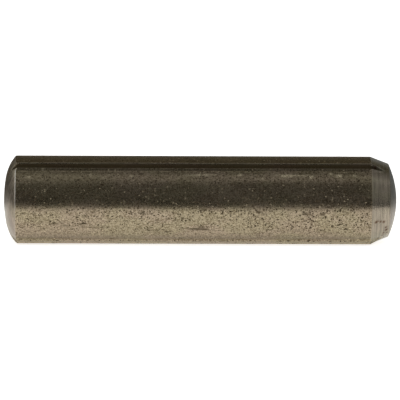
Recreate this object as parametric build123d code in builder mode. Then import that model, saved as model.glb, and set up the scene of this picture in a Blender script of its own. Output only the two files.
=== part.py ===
from build123d import *
from math import asin, cos, radians, sin, sqrt, tan
import os

# A grooved pin: one piece of drawn steel bar, cropped to length and crowned at
# both ends, with a lead chamfer turned on the end that enters the hole first,
# and with three closed grooves pressed along its whole length. Each groove
# throws up a lip of metal on both of its sides.
#
# Frame: the axis of the pin is X, with the chamfered lead end at +X, and the
# origin is on the axis at mid length. +Z is up. The pin lies on its side, on
# the plain bar between two grooves. Its ends are crowned and its bar is round,
# so nothing but a hole holds it still.

# ---- driving dimensions, mm and degrees -----------------------------------
LENGTH = 45.0             # over both crowns
BODY_R = 5.0              # plain bar between the grooves
GROOVE_COUNT = 3
GROOVE_TURN = 122.75      # first groove, in degrees from +Y towards +Z
GROOVE_FLOOR_R = 4.36     # floor of a groove, from the axis
GROOVE_FLOOR_ROUND = 0.12
GROOVE_HALF_ANGLE = 24.0  # each wall, against the radius through the groove
LIP_CORNER_R = 5.215      # sharp corner of wall and lip, from the axis
LIP_CREST_ROUND = 0.05    # round on that corner, which leaves 5.2 over the lips
LIP_FOOT_ANGLE = 9.6      # where a lip has faded into the bar, from mid groove
LIP_FOOT_ROUND = 0.45     # hollow round between a lip and the bar
CHAMFER_LENGTH = 2.08     # along the axis
CHAMFER_END_R = 4.2
LEAD_CROWN_R = 9.8        # spherical crown beyond the chamfer
TAIL_CROWN_R = 15.0       # middle of the other crown
TAIL_CROWN_EDGE = 2.6     # radius at which that middle ends
TAIL_SHOULDER_R = 4.95    # tighter round from there to the edge
EDGE_ROUND = 0.06         # broken edge round the tail crown

# ---- stations along the axis ----------------------------------------------
lead_apex = LENGTH / 2
tail_apex = -LENGTH / 2
lead_sag = LEAD_CROWN_R - sqrt(LEAD_CROWN_R**2 - CHAMFER_END_R**2)
chamfer_end = lead_apex - lead_sag
chamfer_start = chamfer_end - CHAMFER_LENGTH
chamfer_slope = (BODY_R - CHAMFER_END_R) / CHAMFER_LENGTH
# the groove runs out where the chamfer is as small as the groove's floor
run_out = chamfer_start + (BODY_R - GROOVE_FLOOR_R) / chamfer_slope

# ---- section of one groove, with the groove's middle on the local Y axis ---
a = radians(GROOVE_HALF_ANGLE)
floor_centre = GROOVE_FLOOR_R + GROOVE_FLOOR_ROUND
wall_foot = (GROOVE_FLOOR_ROUND * cos(a), floor_centre - GROOVE_FLOOR_ROUND * sin(a))
# the wall leaves wall_foot at the half angle and meets the lip at LIP_CORNER_R
b = wall_foot[0] * sin(a) + wall_foot[1] * cos(a)
t = -b + sqrt(b * b + LIP_CORNER_R**2 - wall_foot[0] ** 2 - wall_foot[1] ** 2)
corner = (wall_foot[0] + t * sin(a), wall_foot[1] + t * cos(a))
# one arc carries both lips; it passes through both corners and meets each
# hollow foot round tangentially
foot = radians(LIP_FOOT_ANGLE)
foot_point = (BODY_R * sin(foot), BODY_R * cos(foot))
hollow = ((BODY_R + LIP_FOOT_ROUND) * sin(foot), (BODY_R + LIP_FOOT_ROUND) * cos(foot))
q = LIP_FOOT_ROUND
c0 = hollow[0] ** 2 + hollow[1] ** 2 - corner[0] ** 2 - corner[1] ** 2 - q * q
c1 = 2 * (hollow[1] - corner[1])
qa = 4 * q * q - c1 * c1
qb = 2 * c0 * c1 - 8 * q * q * corner[1]
qc = 4 * q * q * (corner[0] ** 2 + corner[1] ** 2) - c0 * c0
hill_y = (-qb - sqrt(qb * qb - 4 * qa * qc)) / (2 * qa)
hill_r = sqrt(corner[0] ** 2 + (corner[1] - hill_y) ** 2)
reach = hill_r / (hill_r + q)
hill_foot = (hollow[0] * reach, hill_y + (hollow[1] - hill_y) * reach)
# centre of the round on the crest: one radius inside both the wall and the hill
inside = (corner[0] + LIP_CREST_ROUND * cos(a), corner[1] - LIP_CREST_ROUND * sin(a))
b = inside[0] * sin(a) + (inside[1] - hill_y) * cos(a)
c = inside[0] ** 2 + (inside[1] - hill_y) ** 2 - (hill_r - LIP_CREST_ROUND) ** 2
t = b - sqrt(b * b - c)
crest = (inside[0] - t * sin(a), inside[1] - t * cos(a))
over_lips = 2 * (sqrt(crest[0] ** 2 + crest[1] ** 2) + LIP_CREST_ROUND)


def on_arc(centre, p, r, s):
    """The middle of the short arc from r to s about centre, of radius p."""
    mx, my = (r[0] + s[0]) / 2 - centre[0], (r[1] + s[1]) / 2 - centre[1]
    m = sqrt(mx * mx + my * my)
    return (centre[0] + mx / m * p, centre[1] + my / m * p)


hollow_point = on_arc(hollow, q, foot_point, hill_foot)


def mirrored(p):
    """The same point on the groove's other side."""
    return (-p[0], p[1])


CORE = 3.2  # depth to which the hill's outline reaches into the bar

with BuildSketch() as hill:
    with BuildLine():
        ThreePointArc(foot_point, hollow_point, hill_foot)
        ThreePointArc(hill_foot, (0, hill_y + hill_r), mirrored(hill_foot))
        ThreePointArc(mirrored(hill_foot), mirrored(hollow_point), mirrored(foot_point))
        Line(mirrored(foot_point), (-CORE * sin(foot), CORE * cos(foot)))
        Line((-CORE * sin(foot), CORE * cos(foot)), (CORE * sin(foot), CORE * cos(foot)))
        Line((CORE * sin(foot), CORE * cos(foot)), foot_point)
    make_face()

TOP = 6.0  # the cutter reaches past the lips
top_half = wall_foot[0] + (TOP - wall_foot[1]) * tan(a)
with BuildSketch() as groove:
    with BuildLine():
        ThreePointArc(mirrored(wall_foot), (0, GROOVE_FLOOR_R), wall_foot)
        Line(wall_foot, (top_half, TOP))
        Line((top_half, TOP), (-top_half, TOP))
        Line((-top_half, TOP), mirrored(wall_foot))
    make_face()

# ---- tail crown ------------------------------------------------------------
tail_bend = asin(TAIL_CROWN_EDGE / TAIL_CROWN_R)
tail_joint = (tail_apex + TAIL_CROWN_R * (1 - cos(tail_bend)), TAIL_CROWN_EDGE)
shoulder_centre = (
    tail_joint[0] + TAIL_SHOULDER_R * cos(tail_bend),
    tail_joint[1] - TAIL_SHOULDER_R * sin(tail_bend),
)


def tail_middle(share):
    """A point on the middle of the tail crown, from the apex at 0 to the shoulder at 1."""
    bend = tail_bend * share
    return (tail_apex + TAIL_CROWN_R * (1 - cos(bend)), TAIL_CROWN_R * sin(bend))


def tail_side(share):
    """A point on the shoulder, from the middle of the crown at 0 to past the lips at 1."""
    last = asin((5.6 - shoulder_centre[1]) / TAIL_SHOULDER_R)
    bend = tail_bend + (last - tail_bend) * share
    return (
        shoulder_centre[0] - TAIL_SHOULDER_R * cos(bend),
        shoulder_centre[1] + TAIL_SHOULDER_R * sin(bend),
    )


rim_side = (tail_apex + 1.02, BODY_R)  # a little inside the edge round the crown


def from_axis(p):
    return sqrt(p.Y**2 + p.Z**2)


def lies_in_crown(e):
    """Is this the seam or the inner ring of the crown, and not part of its edge?"""
    return from_axis(e.position_at(0)) < GROOVE_FLOOR_R - 0.1 or from_axis(e.position_at(1)) < GROOVE_FLOOR_R - 0.1


turns = [GROOVE_TURN + 360 / GROOVE_COUNT * i for i in range(GROOVE_COUNT)]

with BuildPart() as pin:
    # the lead end: chamfer and crown, turned on the bar
    with BuildSketch(Plane.XY):
        with BuildLine():
            Line((chamfer_start, 0), (chamfer_start, BODY_R))
            Line((chamfer_start, BODY_R), (chamfer_end, CHAMFER_END_R))
            RadiusArc((chamfer_end, CHAMFER_END_R), (lead_apex, 0), LEAD_CROWN_R)
            Line((lead_apex, 0), (chamfer_start, 0))
        make_face()
    revolve(axis=Axis.X)
    # the lips fade over the chamfer and are gone where the groove runs out
    fade_length = run_out - chamfer_start
    fall = (hill_y + hill_r) - GROOVE_FLOOR_R + 0.05
    for turn in turns:
        out = Vector(0, cos(radians(turn)), sin(radians(turn)))
        with BuildSketch(Plane((chamfer_start, 0, 0), x_dir=(0, 1, 0), z_dir=(1, 0, 0))):
            add(hill.sketch, rotation=turn - 90)
        way = Vector(fade_length, 0, 0) - out * fall
        extrude(amount=way.length, dir=way.normalized())
    with BuildSketch(Plane((chamfer_start, 0, 0), x_dir=(0, 1, 0), z_dir=(1, 0, 0))):
        for turn in turns:
            add(groove.sketch, rotation=turn - 90)
    extrude(amount=LENGTH, mode=Mode.SUBTRACT)
    # the bar behind it, with its grooves and lips
    with BuildSketch(Plane((chamfer_start, 0, 0), x_dir=(0, 1, 0), z_dir=(1, 0, 0))) as section:
        Circle(BODY_R)
        for turn in turns:
            add(hill.sketch, rotation=turn - 90)
        for turn in turns:
            add(groove.sketch, rotation=turn - 90, mode=Mode.SUBTRACT)
    extrude(amount=-(chamfer_start - tail_apex))
    # the tail crown, turned on the bar behind the grooves and lips
    with BuildSketch(Plane.XY):
        with BuildLine():
            ThreePointArc((tail_apex, 0), tail_middle(0.5), tail_joint)
            ThreePointArc(tail_joint, tail_side(0.5), tail_side(1))
            Line(tail_side(1), (tail_side(1)[0], 7))
            Line((tail_side(1)[0], 7), (tail_apex - 1, 7))
            Line((tail_apex - 1, 7), (tail_apex - 1, 0))
            Line((tail_apex - 1, 0), (tail_apex, 0))
        make_face()
    revolve(axis=Axis.X, mode=Mode.SUBTRACT)
    # the pressed metal is round along the crest of each lip
    crests = pin.edges().filter_by(
        lambda e: e.length > LENGTH / 2
        and abs(from_axis(e.position_at(0.5)) - LIP_CORNER_R) < 0.002
    )
    fillet(crests, radius=LIP_CREST_ROUND)
    # and the edge round the tail crown is broken, lips and grooves included
    rim = pin.edges().filter_by(
        lambda e: e.position_at(0.5).X < rim_side[0] + 0.35
        and from_axis(e.position_at(0.5)) > (GROOVE_FLOOR_R + TAIL_CROWN_EDGE) / 2
        and e.length < LENGTH / 2
        and not lies_in_crown(e)
    )
    fillet(rim, radius=EDGE_ROUND)

pin.part.label = "grooved_pin"
os.makedirs("parts", exist_ok=True)
export_step(pin.part, "parts/grooved_pin.step")

box = pin.part.bounding_box()
print("solids", len(pin.part.solids()), "valid", pin.part.is_valid, "mm3", round(pin.part.volume, 2))
print("box", [round(v, 4) for v in (*box.min, *box.max)])
print("over lips", round(over_lips, 4), "grooves at", [round(v % 360, 3) for v in turns])
print("chamfer", round(chamfer_start, 3), "to", round(chamfer_end, 3), "grooves run out at", round(run_out, 3))
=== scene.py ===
import math

import bpy
import numpy as np
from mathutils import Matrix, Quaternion, Vector


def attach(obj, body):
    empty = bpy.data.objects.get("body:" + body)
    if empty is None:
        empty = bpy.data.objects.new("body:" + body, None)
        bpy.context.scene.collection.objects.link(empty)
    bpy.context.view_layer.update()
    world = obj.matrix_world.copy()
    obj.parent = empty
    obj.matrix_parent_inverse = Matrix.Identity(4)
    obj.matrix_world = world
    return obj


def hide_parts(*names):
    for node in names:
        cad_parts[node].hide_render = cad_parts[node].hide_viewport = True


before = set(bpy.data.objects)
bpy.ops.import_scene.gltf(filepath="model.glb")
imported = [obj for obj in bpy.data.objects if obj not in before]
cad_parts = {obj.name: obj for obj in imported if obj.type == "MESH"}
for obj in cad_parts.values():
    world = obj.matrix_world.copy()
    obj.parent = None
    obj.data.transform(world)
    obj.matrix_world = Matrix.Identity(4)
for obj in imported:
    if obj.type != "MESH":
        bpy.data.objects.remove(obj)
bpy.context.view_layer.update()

MM = 0.001

# ---- the pin's dimensions, mm and degrees, as in part.py -------------------
LENGTH = 45.0
BODY_R = 5.0
GROOVE_TURN = 122.75
GROOVE_FLOOR_R, GROOVE_FLOOR_ROUND, GROOVE_HALF_ANGLE = 4.36, 0.12, 24.0
LIP_CORNER_R, LIP_FOOT_ANGLE, LIP_FOOT_ROUND = 5.215, 9.6, 0.45
CHAMFER_LENGTH, CHAMFER_END_R = 2.08, 4.2
LEAD_CROWN_R = 9.8
TAIL_CROWN_R, TAIL_CROWN_EDGE, TAIL_SHOULDER_R = 15.0, 2.6, 4.95
RIM_ROUND = 0.10          # round between the bar and the tail crown, left by wear
LEAD_EDGE_ROUND = 0.1     # and between the chamfer and the lead crown

lead_apex, tail_apex = LENGTH / 2, -LENGTH / 2
chamfer_end = lead_apex - LEAD_CROWN_R + math.sqrt(LEAD_CROWN_R**2 - CHAMFER_END_R**2)
chamfer_start = chamfer_end - CHAMFER_LENGTH
chamfer_slope = (BODY_R - CHAMFER_END_R) / CHAMFER_LENGTH
run_out = chamfer_start + (BODY_R - GROOVE_FLOOR_R) / chamfer_slope

half = math.radians(GROOVE_HALF_ANGLE)
floor_centre = GROOVE_FLOOR_R + GROOVE_FLOOR_ROUND
wall_foot = (GROOVE_FLOOR_ROUND * math.cos(half), floor_centre - GROOVE_FLOOR_ROUND * math.sin(half))
b = wall_foot[0] * math.sin(half) + wall_foot[1] * math.cos(half)
t = -b + math.sqrt(b * b + LIP_CORNER_R**2 - wall_foot[0] ** 2 - wall_foot[1] ** 2)
corner = (wall_foot[0] + t * math.sin(half), wall_foot[1] + t * math.cos(half))
foot = math.radians(LIP_FOOT_ANGLE)
q = LIP_FOOT_ROUND
hollow = ((BODY_R + q) * math.sin(foot), (BODY_R + q) * math.cos(foot))
c0 = hollow[0] ** 2 + hollow[1] ** 2 - corner[0] ** 2 - corner[1] ** 2 - q * q
c1 = 2 * (hollow[1] - corner[1])
qa = 4 * q * q - c1 * c1
qb = 2 * c0 * c1 - 8 * q * q * corner[1]
qc = 4 * q * q * (corner[0] ** 2 + corner[1] ** 2) - c0 * c0
hill_y = (-qb - math.sqrt(qb * qb - 4 * qa * qc)) / (2 * qa)
hill_r = math.sqrt(corner[0] ** 2 + (corner[1] - hill_y) ** 2)
fall = ((hill_y + hill_r) - GROOVE_FLOOR_R + 0.05) / (run_out - chamfer_start)


def smooth_min(p, s, k):
    """The smaller of p and s, rounded over where they differ by less than k."""
    h = np.clip(0.5 + 0.5 * (s - p) / k, 0, 1)
    return s * (1 - h) + p * h - k * h * (1 - h)


def smooth_max(p, s, k):
    return -smooth_min(-p, -s, k)


def step(low, high, v):
    v = np.clip((v - low) / (high - low), 0, 1)
    return v * v * (3 - 2 * v)


def groove_radius(away):
    """Distance of a groove's floor and walls from the axis, away radians from its middle."""
    inner = floor_centre * np.cos(away) - np.sqrt(
        np.clip(GROOVE_FLOOR_ROUND**2 - (floor_centre * np.sin(away)) ** 2, 0, None)
    )
    p = wall_foot[1] * math.sin(half) - wall_foot[0] * math.cos(half)
    wall = np.where(away < half - 0.05, p / np.sin(np.maximum(half - away, 0.05)), 99.0)
    return np.where(away < math.atan2(*wall_foot), inner, wall)


def lip_radius(away, drop):
    """Distance of the lips' hill from the axis once it has sunk by drop, or 0 beyond its foot."""
    c = hill_y - drop
    hill = c * np.cos(away) + np.sqrt(np.clip(hill_r**2 - (c * np.sin(away)) ** 2, 0, None))
    hx, hy = hollow[0], hollow[1] - drop
    far, at = np.hypot(hx, hy), np.arctan2(hx, hy)
    under = q * q - (far * np.sin(away - at)) ** 2
    foot_round = far * np.cos(away - at) - np.sqrt(np.clip(under, 0, None))
    reach = hill_r / (hill_r + q)
    joint = np.arctan2(hx * reach, c + (hy - c) * reach)
    return np.where(away < joint, hill, np.where((away < at) & (under > 0), foot_round, 0.0))


def outside(x, away):
    """Radius of the pin at x (between the two crowns) and away radians from the nearest groove."""
    bar = smooth_min(np.full_like(x, BODY_R), BODY_R - chamfer_slope * (x - chamfer_start), 0.03)
    drop = np.maximum(x - chamfer_start, 0) * fall
    return smooth_min(smooth_max(bar, lip_radius(away, drop), 0.012), groove_radius(away), 0.07)


# ---- rounds of the crowns --------------------------------------------------
tail_bend = math.asin(TAIL_CROWN_EDGE / TAIL_CROWN_R)
tail_joint = tail_apex + TAIL_CROWN_R * (1 - math.cos(tail_bend))
shoulder = (
    tail_joint + TAIL_SHOULDER_R * math.cos(tail_bend),
    TAIL_CROWN_EDGE - TAIL_SHOULDER_R * math.sin(tail_bend),
)


def tail_crown(r):
    inner = tail_apex + TAIL_CROWN_R - np.sqrt(TAIL_CROWN_R**2 - np.minimum(r, TAIL_CROWN_EDGE) ** 2)
    outer = shoulder[0] - np.sqrt(TAIL_SHOULDER_R**2 - (np.maximum(r, TAIL_CROWN_EDGE) - shoulder[1]) ** 2)
    return np.where(r < TAIL_CROWN_EDGE, inner, outer)


def lead_crown(r):
    return lead_apex - LEAD_CROWN_R + np.sqrt(LEAD_CROWN_R**2 - r**2)


def rounded_corner(before, at, after, radius, count):
    """count points of a round of this radius on the corner `at`, all arrays of (x, r)."""
    u = before - at
    v = after - at
    u /= np.linalg.norm(u, axis=-1, keepdims=True)
    v /= np.linalg.norm(v, axis=-1, keepdims=True)
    opening = np.arccos(np.clip((u * v).sum(-1), -1, 1))
    back = radius / np.tan(opening / 2)
    middle = u + v
    middle /= np.linalg.norm(middle, axis=-1, keepdims=True)
    centre = at + middle * (radius / np.sin(opening / 2))[..., None]
    p = at + u * back[..., None] - centre
    s = at + v * back[..., None] - centre
    turn = math.pi - opening
    points = []
    for i in range(count):
        w = i / (count - 1)
        k0 = np.sin((1 - w) * turn) / np.sin(turn)
        k1 = np.sin(w * turn) / np.sin(turn)
        points.append(centre + p * k0[..., None] + s * k1[..., None])
    return points


# ---- the surface, as rings of points along the axis -------------------------
def around():
    """Angles round the axis, close together in the grooves and lips and wider on the bar."""
    near = np.concatenate([np.arange(0, 3.2, 0.8), np.arange(3.2, 10.4, 0.45), np.arange(10.6, 13.0, 1.0)])
    rest = np.linspace(near[-1], 120 - near[-1], 55)[1:-1]
    one = np.concatenate([near, rest, 120 - near[::-1][:-1]])
    return np.radians(np.concatenate([one + 120 * i for i in range(3)]))


turned = around()
columns = len(turned)
away = np.abs((turned + math.pi / 3) % (2 * math.pi / 3) - math.pi / 3)
angle = turned + math.radians(GROOVE_TURN)
section = outside(np.full(columns, 0.0), away)
which = np.round(turned / (2 * math.pi / 3)).astype(int) % 3
low_groove_shade = np.where(which == 1, 1.0, 0.3)     # the groove nearest the floor gets the most painted shade

rings = []                # each (x, r), arrays over the columns
# the tail crown, from its middle outwards
edge = np.stack([tail_crown(section), section], -1)
inward = np.stack([tail_crown(section - 0.05), section - 0.05], -1)
along = edge + np.array([0.05, 0.0])
rim = rounded_corner(inward, edge, along, RIM_ROUND, 6)
rim_r = rim[0][:, 1]
for share in np.linspace(0, 1, 25)[1:-1]:
    r = rim_r * share
    rings.append((tail_crown(r), r))
tail_rings = len(rings)
rings += [(p[:, 0], p[:, 1]) for p in rim]
rim_x = rim[-1][:, 0]
# the bar, with rings closing up towards the chamfer
BAR_RINGS = 252
for share in np.linspace(0, 1, BAR_RINGS + 1)[1:]:
    x = rim_x + (chamfer_start - 0.14 - rim_x) * share
    rings.append((x, outside(x, away)))
for x in np.concatenate([
    chamfer_start + np.linspace(-0.1, 0.1, 6),
    np.linspace(chamfer_start + 0.2, chamfer_end - 0.08, 19),
]):
    x = np.full(columns, x)
    rings.append((x, outside(x, away)))
# the lead crown
edge = np.array([chamfer_end, CHAMFER_END_R])
back = np.array([chamfer_end - 0.05, CHAMFER_END_R + 0.05 * chamfer_slope])
inward = np.array([float(lead_crown(np.array(CHAMFER_END_R - 0.05))), CHAMFER_END_R - 0.05])
lead_edge = rounded_corner(back[None], edge[None], inward[None], LEAD_EDGE_ROUND, 5)
for p in lead_edge:
    rings.append((np.full(columns, p[0, 0]), np.full(columns, p[0, 1])))
last_r = lead_edge[-1][0, 1]
for share in np.linspace(1, 0, 19)[1:-1]:
    r = np.full(columns, last_r * share)
    rings.append((lead_crown(r), r))

xs = np.array([ring[0] for ring in rings])
rs = np.array([ring[1] for ring in rings])
rows = len(rings)
print("rings", rows, "columns", columns, "triangles", 2 * columns * rows)

# ---- drawing marks, dents and the larger pits, pressed into the bar ----------
rng = np.random.default_rng(7)
on_bar = np.zeros((rows, columns))
on_bar[tail_rings + 6:, :] = 1.0
on_bar *= 1 - step(chamfer_start - 0.12, chamfer_start - 0.02, xs)
plain = on_bar * step(math.radians(5.6), math.radians(7.0), away)[None, :]

relief = np.zeros((rows, columns))
for _ in range(26):       # slow waves in the bar's radius
    wave = rng.uniform(2.5, 14.0)
    swing = rng.integers(1, 9)
    relief += (
        rng.uniform(0.2, 1.0) * 0.0009
        * np.sin(2 * math.pi * xs / wave + rng.uniform(0, 6.28))
        * np.sin(swing * angle[None, :] + rng.uniform(0, 6.28))
    )
relief *= on_bar

bar_x = xs[tail_rings + 6:, 0]
for _ in range(280):
    px = rng.uniform(tail_apex + 1.6, chamfer_start - 0.3)
    pa = rng.uniform(0, 2 * math.pi)
    long_way = rng.uniform(0.12, 0.2)
    narrow = long_way * rng.uniform(0.55, 0.95)
    slant = rng.normal(0.5, 0.5)
    deep = rng.uniform(0.003, 0.007)
    i0 = np.searchsorted(bar_x, px - 1.2) + tail_rings + 6
    i1 = np.searchsorted(bar_x, px + 1.2) + tail_rings + 6
    da = (angle - pa + math.pi) % (2 * math.pi) - math.pi
    near = np.abs(da) < 0.2
    dx = xs[i0:i1, near] - px
    dy = da[near][None, :] * BODY_R + 0 * dx
    u = (dx * math.cos(slant) + dy * math.sin(slant)) / long_way
    v = (dy * math.cos(slant) - dx * math.sin(slant)) / narrow
    relief[i0:i1, near] -= deep * np.exp(-(u * u + v * v)) * plain[i0:i1, near]
rs = rs + relief

# ---- marks that the material reads, one number a point ----------------------
marks = {
    "bar": on_bar,
    "pressed": on_bar * (1 - step(math.radians(4.0), math.radians(5.4), away))[None, :],
    "rubbed": on_bar * (step(math.radians(3.7), math.radians(4.2), away) * (1 - step(math.radians(4.9), math.radians(5.8), away)))[None, :],
    # painted shade: the lip hollows and the bar beside them are darkened, fully by the groove nearest the floor and
    # less by the others; the wider band also has fewer pits
    "hollow": on_bar * (low_groove_shade * step(math.radians(5.8), math.radians(7.6), away) * (1 - step(math.radians(9.6), math.radians(19.0), away)))[None, :],
    "calm_shaded": on_bar * (low_groove_shade * step(math.radians(5.8), math.radians(7.6), away) * (1 - step(math.radians(9.6), math.radians(36.0), away)))[None, :],
    "chamfer": step(chamfer_start - 0.06, chamfer_start + 0.04, xs) * (1 - step(chamfer_end - 0.03, chamfer_end + 0.03, xs)),
    "lead": step(chamfer_end - 0.03, chamfer_end + 0.04, xs),
    "tail": np.zeros((rows, columns)),
    "wear_and_highlight": np.zeros((rows, columns)),
    "rust": np.zeros((rows, columns)),
    "scar": np.zeros((rows, columns)),
    "painted_glint": np.zeros((rows, columns)),
}
marks["tail"][: tail_rings + 3] = 1.0
facing = (180 - np.degrees(angle) + 180) % 360 - 180     # from -Y towards +Z
# the tail rim: a little lighter all round for wear, and a painted highlight on the part facing -Y, from about level to
# 60 degrees up
marks["wear_and_highlight"][tail_rings + 1: tail_rings + 4] = step(math.radians(6.6), math.radians(8.0), away) * (
    0.25 + 0.75 * step(-9, 3, facing) * (1 - step(54, 62, facing))
)
points = np.stack([xs, rs * np.cos(angle), rs * np.sin(angle)], -1)


def spot(x, turn, across, strength):
    """A brown spot at x and at turn degrees from -Y towards +Z, about the axis."""
    at = math.radians(180 - turn)
    da = (angle - at + math.pi) % (2 * math.pi) - math.pi
    d = np.hypot(xs - x, da[None, :] * rs) / across
    marks["rust"] = np.maximum(marks["rust"], np.minimum(1.9 * strength * np.exp(-d * d), 1))


# rust in a loose cluster low on the chamfer, and a few spots beyond it
for x, turn, across, strength in (
    (19.97, -22.3, 0.13, 1.0), (20.25, -21.5, 0.09, 0.5), (20.5, -23, 0.11, 0.7), (20.87, -24.5, 0.13, 0.9),
    (21.15, -36, 0.12, 0.8), (21.2, -42, 0.14, 0.8), (20.9, -48, 0.12, 0.6), (20.8, -54, 0.13, 0.5), (21.3, -50, 0.12, 0.5),
    (20.2, -60, 0.2, 0.5), (19.9, 60, 0.15, 0.6), (20.9, 118, 0.2, 0.8), (20.4, 152, 0.16, 0.7), (21.0, -95, 0.2, 0.8), (20.3, -140, 0.2, 0.7),
    (-21.6, -70, 0.2, 0.4), (-21.4, 140, 0.3, 0.6), (-21.9, 60, 0.25, 0.4),
):
    spot(x, turn, across, strength)


def stroke_mark(name, x0, turn0, x1, turn1, across, strength):
    """A straight stroke on the bar from x0, turn0 to x1, turn1."""
    along = np.linspace(0, 1, 12)
    for share in along:
        at = math.radians(180 - (turn0 + (turn1 - turn0) * share))
        da = (angle - at + math.pi) % (2 * math.pi) - math.pi
        d = np.hypot((xs - (x0 + (x1 - x0) * share)) / max(across, abs(x1 - x0) / 9), da[None, :] * rs / across)
        marks[name] = np.maximum(marks[name], np.minimum(1.4 * strength * np.exp(-d * d), 1))


# dark drawing scars and chains of pits, then a few painted glints: bright specks where the top light's reflection
# falls
for x0, turn0, x1, turn1, across, strength in (
    (-1.1, -33, 0.75, -33.8, 0.12, 0.85), (-2.3, -31.6, -1.5, -32.4, 0.1, 0.45), (-0.2, -29.6, 0.45, -30, 0.1, 0.7), (-13.6, -30, -10.6, -31, 0.11, 0.35), (-16.9, -24.5, -16.2, -24.5, 0.11, 0.6), (-15.9, -28, -15.1, -28.5, 0.1, 0.5),
    (-6.2, -35, -4.9, -35.5, 0.1, 0.6), (4.4, 15, 5.6, 8, 0.1, 0.3), (11.75, -9.5, 12.05, -10, 0.12, 0.9),
    (13.7, -10, 13.95, -10.5, 0.12, 0.9), (6.4, -7, 6.7, -8, 0.11, 0.8), (0.1, -3.6, 0.6, -4.5, 0.09, 0.8),
    (-2.15, -16.4, -2.0, -16.6, 0.13, 0.9), (-5.05, -19, -4.95, -19.5, 0.12, 0.8), (-6.7, -8, -6.5, -10, 0.11, 0.8),
    (-20.2, 14, -19.2, 22, 0.09, 0.6), (9.8, 140, 13.5, 141, 0.12, 0.9), (-12.4, 96, -9.0, 97, 0.12, 0.8),
    (1.5, 112, 2.7, 120, 0.1, 0.7), (-7.5, -140, -3.2, -139, 0.12, 0.9), (13.0, -120, 14.4, -118, 0.14, 0.8),
):
    stroke_mark("scar", x0, turn0, x1, turn1, across, strength)
for x0, turn0, x1, turn1, across, strength in (
    (-0.25, 43.5, -0.1, 43.5, 0.15, 1.0), (0.55, 43.5, 0.65, 43.5, 0.14, 1.0), (-1.5, 43.5, 1.4, 43.5, 0.08, 0.45),
    (4.4, 43.5, 4.5, 43.5, 0.14, 1.0), (9.3, 42.0, 10.3, 42.3, 0.14, 1.0), (8.7, 43.5, 11.9, 42.5, 0.08, 0.45),
    (12.5, 40.5, 12.6, 40.5, 0.15, 1.0), (15.6, 42.2, 15.9, 42.2, 0.15, 1.0), (14.7, 45.0, 14.8, 45.0, 0.14, 1.0),
    (-19.6, 39.5, -19.5, 39.5, 0.12, 1.0), (-18.0, 51, -17.9, 51, 0.1, 1.0), (-8.0, 41, -7.8, 41, 0.1, 0.8),
    (-12.6, 44, -12.5, 44, 0.1, 0.9), (17.4, 43, 17.5, 43, 0.1, 0.9), (6.9, 37, 7.0, 37, 0.1, 0.8),
    (3.0, 100, 5.8, 100, 0.12, 0.6), (-15.0, 130, -13.0, 131, 0.12, 0.6),
):
    stroke_mark("painted_glint", x0, turn0, x1, turn1, across, strength)

# ---- the mesh ---------------------------------------------------------------
verts = np.concatenate([
    points.reshape(-1, 3), [[tail_apex, 0, 0], [lead_apex, 0, 0]]
]) * MM
index = np.arange(rows * columns).reshape(rows, columns)
after = np.roll(index, -1, axis=1)
quads = np.stack([index[:-1], after[:-1], after[1:], index[1:]], -1).reshape(-1, 4)
tail_fan = np.stack([np.full(columns, rows * columns), after[0], index[0]], -1)
lead_fan = np.stack([np.full(columns, rows * columns + 1), index[-1], after[-1]], -1)

mesh = bpy.data.meshes.new("pin_body")
mesh.from_pydata(verts.tolist(), [], quads[:, ::-1].tolist() + tail_fan[:, ::-1].tolist() + lead_fan[:, ::-1].tolist())
for name, values in marks.items():
    layer = mesh.attributes.new(name, "FLOAT", "POINT")
    ends = [1.0 if name == "tail" else 0.0, 1.0 if name == "lead" else 0.0]
    layer.data.foreach_set("value", np.concatenate([values.ravel(), ends]).astype(np.float32))
mesh.validate()
mesh.shade_smooth()
pin = bpy.data.objects.new("pin_body", mesh)
bpy.context.scene.collection.objects.link(pin)


# ---- materials ----------------------------------------------------------------
class Nodes:
    """Short names for the nodes of one material."""

    def __init__(self, name):
        self.material = bpy.data.materials.new(name)
        self.material.use_nodes = True
        self.tree = self.material.node_tree
        self.tree.nodes.clear()
        self.place = self.new("ShaderNodeTexCoord").outputs["Object"]

    def new(self, kind, **settings):
        node = self.tree.nodes.new(kind)
        for k, v in settings.items():
            setattr(node, k, v)
        return node

    def put(self, value, socket):
        if isinstance(value, bpy.types.NodeSocket):
            self.tree.links.new(value, socket)
        else:
            socket.default_value = value

    def math(self, operation, a, b=0.0, clamp=False):
        node = self.new("ShaderNodeMath", operation=operation, use_clamp=clamp)
        self.put(a, node.inputs[0])
        self.put(b, node.inputs[1])
        return node.outputs[0]

    def vector(self, operation, a, b):
        node = self.new("ShaderNodeVectorMath", operation=operation)
        self.put(a, node.inputs[0])
        self.put(b, node.inputs[1])
        return node.outputs[0]

    def ramp(self, value, low, high, to_low=0.0, to_high=1.0):
        """value from low to high becomes to_low to to_high, smoothly and no further."""
        node = self.new("ShaderNodeMapRange", interpolation_type="SMOOTHSTEP")
        for v, socket in zip((value, low, high, to_low, to_high), node.inputs[:5]):
            self.put(v, socket)
        return node.outputs[0]

    def blend(self, share, a, b):
        node = self.new("ShaderNodeMix", data_type="RGBA")
        self.put(share, node.inputs[0])
        self.put(a, node.inputs[6])
        self.put(b, node.inputs[7])
        return node.outputs[2]

    def noise(self, vector, scale, detail=2.0, rough=0.5, colour=False):
        node = self.new("ShaderNodeTexNoise")
        self.put(vector, node.inputs["Vector"])
        node.inputs["Scale"].default_value = scale
        node.inputs["Detail"].default_value = detail
        node.inputs["Roughness"].default_value = rough
        return node.outputs["Color" if colour else "Fac"]

    def cells(self, vector, scale):
        node = self.new("ShaderNodeTexVoronoi", feature="F1")
        self.put(vector, node.inputs["Vector"])
        node.inputs["Scale"].default_value = scale
        return node.outputs["Distance"], node.outputs["Color"]

    def mark(self, name):
        node = self.new("ShaderNodeAttribute", attribute_name=name)
        return node.outputs["Fac"]


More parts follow.
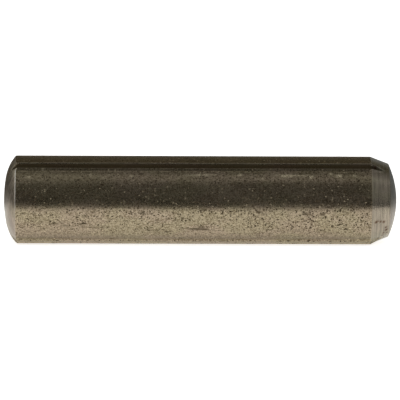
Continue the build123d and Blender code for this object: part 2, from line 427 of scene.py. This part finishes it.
n = Nodes("drawn_steel")
mm = n.vector("SCALE", n.place, (0, 0, 0))
mm.node.inputs["Scale"].default_value = 1000.0
warp = n.vector("SUBTRACT", n.noise(mm, 1.6, 2.0, colour=True), (0.5, 0.5, 0.5))
warped = n.vector("MULTIPLY_ADD", warp, (0.45, 0.45, 0.45))
n.put(mm, warped.node.inputs[2])


def pits(vector, scale, smallest, largest, crowding):
    """1 in the middle of each pit and 0 outside it. Radii are in cells; below 0 there is no pit."""
    distance, colour = n.cells(vector, scale)
    split = n.new("ShaderNodeSeparateColor")
    n.put(colour, split.inputs[0])
    radius = n.math("ADD", n.ramp(split.outputs[0], 0.0, 1.0, smallest, largest), crowding)
    return n.ramp(n.math("DIVIDE", distance, n.math("MAXIMUM", radius, 0.001)), 1.05, 0.75)


clusters = n.noise(mm, 0.42, 2.0, 0.5)
split_mm = n.new("ShaderNodeSeparateXYZ")
n.put(mm, split_mm.inputs[0])
loose = n.ramp(clusters, 0.36, 0.64, -0.03, 0.025)
crowd = n.math("ADD", loose, n.ramp(split_mm.outputs[0], -16.0, 18.0, -0.02, 0.03))
small = pits(n.vector("MULTIPLY", warped, (0.85, 1, 1)), 4.9, -0.02, 0.46, crowd)
medium = pits(n.vector("MULTIPLY", warped, (0.75, 1, 1)), 3.2, -0.3, 0.34, crowd)
large = pits(n.vector("MULTIPLY", warped, (0.6, 1, 1)), 1.2, -0.62, 0.2, loose)
dashes = pits(n.vector("MULTIPLY", warped, (0.3, 1.6, 1.6)), 1.0, -0.42, 0.18, 0.0)
grain = n.noise(n.vector("MULTIPLY", mm, (0.85, 1, 1)), 5.2, 2.0, 0.55)
fine = n.noise(mm, 11.0, 2.0, 0.6)
mottle = n.noise(n.vector("MULTIPLY", mm, (0.8, 1, 1)), 1.5, 3.0, 0.6)
slow = n.noise(n.vector("MULTIPLY", mm, (0.35, 1, 1)), 0.55, 3.0, 0.55)
drawn = n.noise(n.vector("MULTIPLY", mm, (0.12, 1, 1)), 2.6, 3.0, 0.6)
turning = n.noise(n.vector("MULTIPLY", mm, (1, 0.05, 0.05)), 5.5, 3.0, 0.7)
turning_fine = n.noise(n.vector("MULTIPLY", mm, (1, 0.03, 0.03)), 13.0, 2.0, 0.7)
across = n.vector("LENGTH", n.vector("MULTIPLY", mm, (0, 1, 1)), (0, 0, 0)).node.outputs["Value"]
out_from_axis = n.new("ShaderNodeCombineXYZ")
n.put(across, out_from_axis.inputs[0])
ringed = n.vector("ADD", out_from_axis.outputs[0], n.vector("MULTIPLY", mm, (0, 0.04, 0.04)))
rings_noise = n.noise(ringed, 4.6, 3.0, 0.7)

bar, pressed, chamfer = n.mark("bar"), n.mark("pressed"), n.mark("chamfer")
lead, tail, wear_and_highlight, rust = n.mark("lead"), n.mark("tail"), n.mark("wear_and_highlight"), n.mark("rust")
plain_bar = n.math("SUBTRACT", bar, pressed, clamp=True)
smooth = n.math("SUBTRACT", 1.0, n.math("MULTIPLY", n.mark("calm_shaded"), 0.65))
pitted = n.math("MULTIPLY_ADD", n.math("MULTIPLY", plain_bar, smooth), 0.92)
pitted.node.inputs[2].default_value = 0.08

# colour
bright = (0.432, 0.362, 0.253, 1)
dull = (0.18, 0.142, 0.088, 1)
patchy = n.math("ADD", n.math("ADD", n.math("MULTIPLY", grain, 0.32), n.math("MULTIPLY", fine, 0.55)), n.math("ADD", n.math("MULTIPLY", mottle, 0.05), n.math("MULTIPLY", slow, 0.08)))
colour = n.blend(n.ramp(patchy, 0.43, 0.55), dull, bright)
colour = n.blend(n.ramp(drawn, 0.42, 0.3, 0.0, 0.18), colour, (0.2, 0.155, 0.09, 1))
colour = n.blend(n.math("MULTIPLY", pressed, 0.8), colour, (0.4, 0.34, 0.25, 1))
# painted shade beside the grooves' lips, strongest on the groove nearest the floor
colour = n.blend(n.math("MULTIPLY", n.mark("calm_shaded"), 0.12), colour, (0.16, 0.122, 0.06, 1))
colour = n.blend(n.math("MULTIPLY", n.mark("hollow"), 0.34), colour, (0.15, 0.116, 0.068, 1))
colour = n.blend(n.math("MULTIPLY", n.mark("rubbed"), 0.6), colour, (0.5, 0.43, 0.32, 1))
end_grain = n.ramp(grain, 0.35, 0.65)
lines = n.math("ADD", n.math("MULTIPLY", turning, 0.5), n.math("MULTIPLY", turning_fine, 0.5))
lines = n.ramp(n.math("ADD", lines, n.math("MULTIPLY", fine, 0.16)), 0.475, 0.675)
chamfer_colour = n.blend(lines, (0.247, 0.221, 0.168, 1), (0.402, 0.355, 0.27, 1))
lead_colour = n.blend(n.ramp(n.math("ADD", rings_noise, n.math("MULTIPLY", grain, 0.25)), 0.5, 0.78), (0.215, 0.187, 0.14, 1), (0.33, 0.283, 0.213, 1))
strokes = n.new("ShaderNodeMapping")
n.put(mm, strokes.inputs["Vector"])
strokes.inputs["Rotation"].default_value = (0.7, 0.3, 0.2)
strokes.inputs["Scale"].default_value = (1.0, 2.8, 0.5)
stroke = n.noise(strokes.outputs[0], 1.7, 3.0, 0.66)
stroked = n.ramp(n.math("ADD", stroke, n.math("MULTIPLY", grain, 0.2)), 0.53, 0.69)
stroked = n.math("MULTIPLY_ADD", n.math("SUBTRACT", stroked, 0.3), n.ramp(split_mm.outputs[2], -1.0, 1.5, 0.35, 1.0))
stroked.node.inputs[2].default_value = 0.3
tail_colour = n.blend(stroked, (0.238, 0.199, 0.152, 1), (0.475, 0.402, 0.308, 1))
colour = n.blend(chamfer, colour, chamfer_colour)
colour = n.blend(lead, colour, lead_colour)
colour = n.blend(tail, colour, tail_colour)
ends = n.math("MAXIMUM", chamfer, n.math("MAXIMUM", lead, tail))
tint = n.ramp(n.noise(n.vector("MULTIPLY", mm, (0.5, 1, 1)), 0.38, 2.0, 0.5), 0.4, 0.6)
tinted = n.new("ShaderNodeMix", data_type="RGBA", blend_type="MULTIPLY")
tinted.inputs[0].default_value = 1.0
n.put(colour, tinted.inputs[6])
n.put(n.blend(tint, (0.985, 1.0, 0.965, 1), (1.01, 0.985, 1.015, 1)), tinted.inputs[7])
colour = tinted.outputs[2]
dark = n.math("MAXIMUM", n.math("MAXIMUM", large, n.math("MULTIPLY", medium, 0.9)), n.math("MAXIMUM", n.math("MULTIPLY", small, 0.95), dashes))
dark = n.math("MAXIMUM", n.math("MULTIPLY", dark, pitted), n.math("MULTIPLY", n.mark("scar"), n.ramp(fine, 0.3, 0.5)))
specks = n.math("MULTIPLY", pits(n.vector("MULTIPLY", mm, (0.8, 1, 1)), 3.6, -0.5, 0.31, 0.0), plain_bar)
colour = n.blend(n.math("MULTIPLY", specks, 0.65), colour, (0.76, 0.65, 0.46, 1))
colour = n.blend(n.math("MULTIPLY", dark, 0.92), colour, (0.105, 0.079, 0.048, 1))
colour = n.blend(n.math("MULTIPLY", rust, n.ramp(fine, 0.25, 0.48)), colour, (0.11, 0.05, 0.024, 1))
# painted highlight: bright specks along the band that mirrors the top light
colour = n.blend(n.math("MULTIPLY", n.mark("painted_glint"), n.ramp(fine, 0.4, 0.52)), colour, (0.95, 0.83, 0.58, 1))
oiled = n.new("ShaderNodeMix", data_type="RGBA", blend_type="MULTIPLY")
oiled.inputs[0].default_value = 1.0
n.put(colour, oiled.inputs[6])
n.put((0.785, 0.785, 0.785, 1), oiled.inputs[7])
# the tail rim: light wear all round, with a painted highlight along its front and upper side
colour = n.blend(n.math("MULTIPLY", wear_and_highlight, 0.95), oiled.outputs[2], (0.84, 0.79, 0.715, 1))

# gloss
rough = n.math("MULTIPLY_ADD", dark, 0.55)
n.put(n.ramp(slow, 0.3, 0.7, 0.25, 0.31), rough.node.inputs[2])
rough = n.math("ADD", rough, n.math("MULTIPLY", n.math("MAXIMUM", rust, specks), 0.35), clamp=True)
rough = n.math("ADD", rough, n.math("ADD", n.math("MULTIPLY", tail, 0.07), n.math("MULTIPLY", lead, 0.07)))

# height in mm
height = n.math("MULTIPLY", large, -0.012)
height = n.math("ADD", height, n.math("MULTIPLY", medium, -0.006))
height = n.math("ADD", height, n.math("MULTIPLY", small, -0.003))
height = n.math("ADD", height, n.math("MULTIPLY", dashes, -0.008))
height = n.math("ADD", height, n.math("MULTIPLY", grain, 0.003))
height = n.math("ADD", height, n.math("MULTIPLY", mottle, 0.0015))
height = n.math("ADD", height, n.math("MULTIPLY", fine, 0.0015))
height = n.math("MULTIPLY", height, pitted)
marks_height = n.math("ADD", n.math("MULTIPLY", turning, 0.02), n.math("MULTIPLY", turning_fine, 0.006))
height = n.math("ADD", height, n.math("MULTIPLY", marks_height, chamfer))
height = n.math("ADD", height, n.math("MULTIPLY", n.math("MULTIPLY", rings_noise, 0.02), n.math("MAXIMUM", lead, n.math("MULTIPLY", tail, 0.5))))
height = n.math("ADD", height, n.math("MULTIPLY", n.math("MULTIPLY", stroke, 0.007), tail))
height = n.math("ADD", height, n.math("MULTIPLY", n.math("MULTIPLY", grain, 0.01), ends))
height = n.math("MULTIPLY", height, n.math("SUBTRACT", 1.0, wear_and_highlight))

bump = n.new("ShaderNodeBump")
bump.inputs["Strength"].default_value = 1.0
bump.inputs["Distance"].default_value = MM
n.put(height, bump.inputs["Height"])

shader = n.new("ShaderNodeBsdfPrincipled")
shader.inputs["Metallic"].default_value = 1.0
n.put(colour, shader.inputs["Base Color"])
n.put(rough, shader.inputs["Roughness"])
n.put(bump.outputs[0], shader.inputs["Normal"])
n.put(shader.outputs[0], n.new("ShaderNodeOutputMaterial").inputs["Surface"])
mesh.materials.append(n.material)

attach(pin, "root")
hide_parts("grooved_pin")

# ---- floor ---------------------------------------------------------------------
# A light table. The pin mirrors only the sheet of paper round it, as if dark cloth lay beyond.
SHEET = [(-47.0, -23.0), (39.0, -23.0), (39.0, 21.0), (-47.0, 24.0)]   # its corners, mm
WIDE = 3000.0


def flat(name, corners, faces, material):
    """Flat faces at the height of the pin's underside."""
    mesh = bpy.data.meshes.new(name)
    mesh.from_pydata([(x * MM, y * MM, -BODY_R * MM) for x, y in corners], [], faces)
    mesh.materials.append(material)
    o = bpy.data.objects.new(name, mesh)
    bpy.context.scene.collection.objects.link(o)
    return o


paper = Nodes("pale_floor")
diffuse = paper.new("ShaderNodeBsdfDiffuse")
diffuse.inputs["Color"].default_value = (0.86, 0.86, 0.86, 1)
glow = paper.new("ShaderNodeEmission")
glow.inputs["Color"].default_value = (1.0, 0.99, 0.97, 1)
glow.inputs["Strength"].default_value = 0.80
both = paper.new("ShaderNodeAddShader")
paper.put(diffuse.outputs[0], both.inputs[0])
paper.put(glow.outputs[0], both.inputs[1])
paper.put(both.outputs[0], paper.new("ShaderNodeOutputMaterial").inputs["Surface"])
paper.material.cycles.emission_sampling = "NONE"
flat("sheet", SHEET, [(0, 1, 2, 3)], paper.material)
floor = flat(
    "floor",
    SHEET + [(-WIDE, -WIDE), (WIDE, -WIDE), (WIDE, WIDE), (-WIDE, WIDE)],
    [(4 + i, 4 + (i + 1) % 4, (i + 1) % 4, i) for i in range(4)],
    paper.material,
)
wall_paint = Nodes("pale_wall")
paint = wall_paint.new("ShaderNodeEmission")
paint.inputs["Strength"].default_value = 1.15
wall_paint.put(paint.outputs[0], wall_paint.new("ShaderNodeOutputMaterial").inputs["Surface"])
wall_paint.material.cycles.emission_sampling = "NONE"
WALL_R, SIDES = 1600.0, 48
round_it = [2 * math.pi * i / SIDES for i in range(SIDES)]
wall_mesh = bpy.data.meshes.new("wall")
wall_mesh.from_pydata(
    [(WALL_R * math.cos(v) * MM, WALL_R * math.sin(v) * MM, z * MM) for z in (-BODY_R, 2500.0) for v in round_it],
    [],
    [(i, (i + 1) % SIDES, (i + 1) % SIDES + SIDES, i + SIDES) for i in range(SIDES)],
)
wall_mesh.materials.append(wall_paint.material)
wall = bpy.data.objects.new("wall", wall_mesh)
bpy.context.scene.collection.objects.link(wall)
wall.visible_diffuse = False
for far in (floor, wall):
    far.visible_glossy = False
    far.visible_shadow = False

# ---- light -----------------------------------------------------------------------
world = bpy.data.worlds.new("studio")
bpy.context.scene.world = world
world.use_nodes = True
background = world.node_tree.nodes["Background"]
up = world.node_tree.nodes.new("ShaderNodeSeparateXYZ")
world.node_tree.links.new(world.node_tree.nodes.new("ShaderNodeTexCoord").outputs["Generated"], up.inputs[0])
fade = world.node_tree.nodes.new("ShaderNodeMapRange")
world.node_tree.links.new(up.outputs["Z"], fade.inputs[0])
for socket, v in zip(fade.inputs[1:5], (0.02, 0.25, 0.052, 0.145)):
    socket.default_value = v
world.node_tree.links.new(fade.outputs[0], background.inputs["Strength"])
behind = world.node_tree.nodes.new("ShaderNodeMapRange")
world.node_tree.links.new(up.outputs["Y"], behind.inputs[0])
for socket, v in zip(behind.inputs[1:5], (0.0, 0.5, 0.0, 1.0)):
    socket.default_value = v
warm = world.node_tree.nodes.new("ShaderNodeMix")
warm.data_type = "RGBA"
world.node_tree.links.new(behind.outputs[0], warm.inputs[0])
warm.inputs[6].default_value = (0.97, 0.98, 0.96, 1)
warm.inputs[7].default_value = (0.96, 0.86, 0.62, 1)
world.node_tree.links.new(warm.outputs[2], background.inputs["Color"])


def soft_sun(name, azimuth, elevation, strength, spread, on_steel, colour=(1, 1, 1)):
    """A soft light from far off: azimuth is from -Y towards +X, in degrees."""
    lamp = bpy.data.lights.new(name, "SUN")
    lamp.energy = strength
    lamp.angle = math.radians(spread)
    lamp.color = colour
    a, e = math.radians(azimuth), math.radians(elevation)
    come = Vector((math.sin(a) * math.cos(e), -math.cos(a) * math.cos(e), math.sin(e)))
    o = bpy.data.objects.new(name, lamp)
    bpy.context.scene.collection.objects.link(o)
    o.rotation_mode = "QUATERNION"
    o.rotation_quaternion = come.to_track_quat("Z", "Y")
    o.visible_glossy = on_steel
    o.visible_diffuse = not on_steel
    return o


# boxes that the steel mirrors, and the room's own light on the paper
soft_sun("left_box", -72, 20, 0.5, 44, True)
soft_sun("left_back", -122, 18, 0.055, 70, True, (0.88, 1.0, 1.04))
soft_sun("left_high", -105, 42, 0.6, 56, True, (0.95, 1.0, 1.05))
soft_sun("right_box", 62, 25, 0.2, 64, True)
soft_sun("right_back", 146, 6, 0.15, 56, True, (0.88, 1.0, 1.12))
soft_sun("right_high", 100, 44, 0.05, 32, True)
soft_sun("room_left", -40, 45, 1.05, 90, False)
soft_sun("room_right", 40, 45, 1.05, 90, False)

top = bpy.data.lights.new("top_box", "AREA")
top.shape = "RECTANGLE"
top.size, top.size_y = 1.0, 0.38
top.energy = 0.31 * math.pi * top.size * top.size_y
over = bpy.data.objects.new("top_box", top)
over.location = (0, -0.26, 0.6)
over.rotation_euler = (math.radians(-23), 0, 0)
bpy.context.scene.collection.objects.link(over)

# ---- camera -----------------------------------------------------------------------
cam = bpy.data.cameras.new("camera")
cam.sensor_width = 36.0
cam.lens = 402.5
camera = bpy.data.objects.new("camera", cam)
bpy.context.scene.collection.objects.link(camera)
bpy.context.scene.camera = camera
AZIMUTH, ELEVATION, DISTANCE, ROLL = -1.0, 9.0, 0.513, 0.34
a, e = math.radians(AZIMUTH), math.radians(ELEVATION)
away_to = np.array([math.sin(a) * math.cos(e), -math.cos(a) * math.cos(e), math.sin(e)])
aim = (Vector(away_to)).to_track_quat("Z", "Y") @ Quaternion((0, 0, 1), math.radians(ROLL))
camera.rotation_mode = "QUATERNION"
camera.rotation_quaternion = aim
camera.location = Vector(away_to) * DISTANCE
cam.shift_x, cam.shift_y = -0.0006, -0.0010
cam.clip_start, cam.clip_end = 0.01, 100.0

bpy.context.scene.view_settings.view_transform = "Standard"
